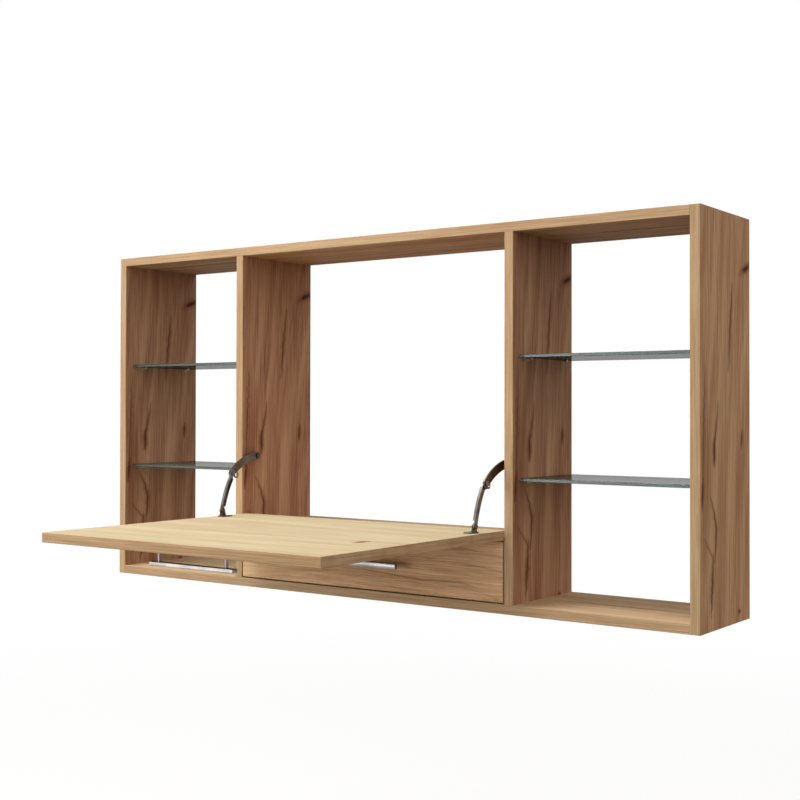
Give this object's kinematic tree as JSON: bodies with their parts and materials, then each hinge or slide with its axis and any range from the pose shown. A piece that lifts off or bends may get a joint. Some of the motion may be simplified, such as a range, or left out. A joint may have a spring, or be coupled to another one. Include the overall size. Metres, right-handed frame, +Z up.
{
  "type": "fold down wall desk",
  "caption": "Wall-hung cabinet desk with a drop front writing flap on folding stays, open side bays with glass shelves and a drawer under the centre bay.",
  "frame": {"origin": "on the wall plane, midway between the two outer wall screws' keyhole entries, at their height", "axes": "+Z up, +X to the right seen from the front, +Y into the wall; the front of the desk faces -Y and the flap is open at rest"},
  "size_m": [1.15, 0.6509, 0.6],
  "materials": {
    "oak_board": "rustic oak decor, satin",
    "oak_edge": "rustic oak decor edge band, satin",
    "drawer_board": "light foil-covered board, matte",
    "dowel_wood": "raw beech",
    "clear_glass": "clear float glass with ground edges",
    "nickel_steel": "nickel-plated steel, satin",
    "zinc_steel": "zinc-plated steel",
    "zinc_casting": "zinc die casting, raw",
    "runner_steel": "white powder coat",
    "handle_metal": "satin",
    "nylon": "moulded nylon, matte",
    "magnet_metal": "nickel-plated magnet"
  },
  "bodies": {
    "carcass": {"left_side_panel": "oak_board", "right_side_panel": "oak_board", "top_panel": "oak_board", "bottom_panel": "oak_board", "left_divider": "oak_board", "right_divider": "oak_board", "desk_deck": "oak_board", "upper_left_glass_shelf": "clear_glass", "lower_left_glass_shelf": "clear_glass", "upper_right_glass_shelf": "clear_glass", "lower_right_glass_shelf": "clear_glass", "shelf_support_pins": "nickel_steel", "panel_dowels": "dowel_wood", "cam_housings": "zinc_casting", "cam_bolts": "zinc_steel", "divider_screws": "zinc_steel", "wall_hanger_plates": "zinc_steel", "wall_hanger_screws": "zinc_steel", "left_fixed_runner": "runner_steel", "right_fixed_runner": "runner_steel", "runner_screws": "zinc_steel", "carcass_roller_axles": "zinc_steel", "flap_pivot_bushes": "nylon", "stay_spacer_bushes": "nickel_steel", "stay_wall_screws": "nickel_steel", "catch_magnet": "magnet_metal"},
    "flap": {"desk_flap": "oak_board", "flap_edge_band": "oak_edge", "catch_steel_disc": "zinc_steel", "flap_pivot_pins": "nickel_steel", "stay_foot_brackets": "nickel_steel", "stay_foot_screws": "nickel_steel", "stay_foot_rivets": "nickel_steel", "flap_handle_bar": "handle_metal", "flap_handle_posts": "handle_metal", "flap_handle_screws": "zinc_steel"},
    "left_upper_arm": {"left_upper_stay_arm": "nickel_steel"},
    "right_upper_arm": {"right_upper_stay_arm": "nickel_steel"},
    "left_lower_arm": {"left_lower_stay_arm": "nickel_steel", "left_stay_joint_pin": "nickel_steel"},
    "right_lower_arm": {"right_lower_stay_arm": "nickel_steel", "right_stay_joint_pin": "nickel_steel"},
    "drawer": {"drawer_front": "oak_board", "drawer_left_side": "drawer_board", "drawer_right_side": "drawer_board", "drawer_back": "drawer_board", "drawer_bottom": "drawer_board", "drawer_box_screws": "zinc_steel", "drawer_handle_bar": "handle_metal", "drawer_handle_posts": "handle_metal", "drawer_handle_screws": "zinc_steel", "left_drawer_runner": "runner_steel", "right_drawer_runner": "runner_steel", "drawer_runner_screws": "zinc_steel", "drawer_roller_axles": "zinc_steel"},
    "left_carcass_roller": {"left_carcass_roller": "nylon"},
    "right_carcass_roller": {"right_carcass_roller": "nylon"},
    "left_drawer_roller": {"left_drawer_roller": "nylon"},
    "right_drawer_roller": {"right_drawer_roller": "nylon"}
  },
  "joints": [
    {"name": "flap_hinge", "type": "hinge", "parent": "carcass", "child": "flap", "pos_m": [0, -0.1875, -0.4199], "axis": [-1, 0, 0], "range_deg": [0, 90]},
    {"name": "left_stay_wall_pivot", "type": "hinge", "parent": "carcass", "child": "left_upper_arm", "pos_m": [-0.2559, -0.164, -0.3099], "axis": [-1, 0, 0], "range_deg": [0, 137]},
    {"name": "left_stay_foot_pivot", "type": "hinge", "parent": "flap", "child": "left_lower_arm", "pos_m": [-0.2537, -0.261, -0.4024], "axis": [1, 0, 0], "range_deg": [0, 116]},
    {"name": "right_stay_wall_pivot", "type": "hinge", "parent": "carcass", "child": "right_upper_arm", "pos_m": [0.2559, -0.164, -0.3099], "axis": [-1, 0, 0], "range_deg": [0, 137]},
    {"name": "right_stay_foot_pivot", "type": "hinge", "parent": "flap", "child": "right_lower_arm", "pos_m": [0.2537, -0.261, -0.4024], "axis": [1, 0, 0], "range_deg": [0, 116]},
    {"name": "drawer_slide", "type": "slide", "parent": "carcass", "child": "drawer", "axis": [0, -1, 0], "range_m": [0, 0.125]},
    {"name": "left_carcass_roller_axle", "type": "hinge", "parent": "carcass", "child": "left_carcass_roller", "pos_m": [-0.2593, -0.169, -0.508], "axis": [1, 0, 0], "continuous": true},
    {"name": "left_drawer_roller_axle", "type": "hinge", "parent": "drawer", "child": "left_drawer_roller", "pos_m": [-0.2583, -0.0294, -0.508], "axis": [1, 0, 0], "continuous": true},
    {"name": "right_carcass_roller_axle", "type": "hinge", "parent": "carcass", "child": "right_carcass_roller", "pos_m": [0.2593, -0.169, -0.508], "axis": [1, 0, 0], "continuous": true},
    {"name": "right_drawer_roller_axle", "type": "hinge", "parent": "drawer", "child": "right_drawer_roller", "pos_m": [0.2583, -0.0294, -0.508], "axis": [1, 0, 0], "continuous": true}
  ],
  "couplings": [
    {"joint": "left_stay_wall_pivot", "follows": "flap_hinge", "ratio": 1.5191},
    {"joint": "left_stay_foot_pivot", "follows": "flap_hinge", "ratio": 1.2807},
    {"joint": "right_stay_wall_pivot", "follows": "flap_hinge", "ratio": 1.5191},
    {"joint": "right_stay_foot_pivot", "follows": "flap_hinge", "ratio": 1.2807}
  ]
}
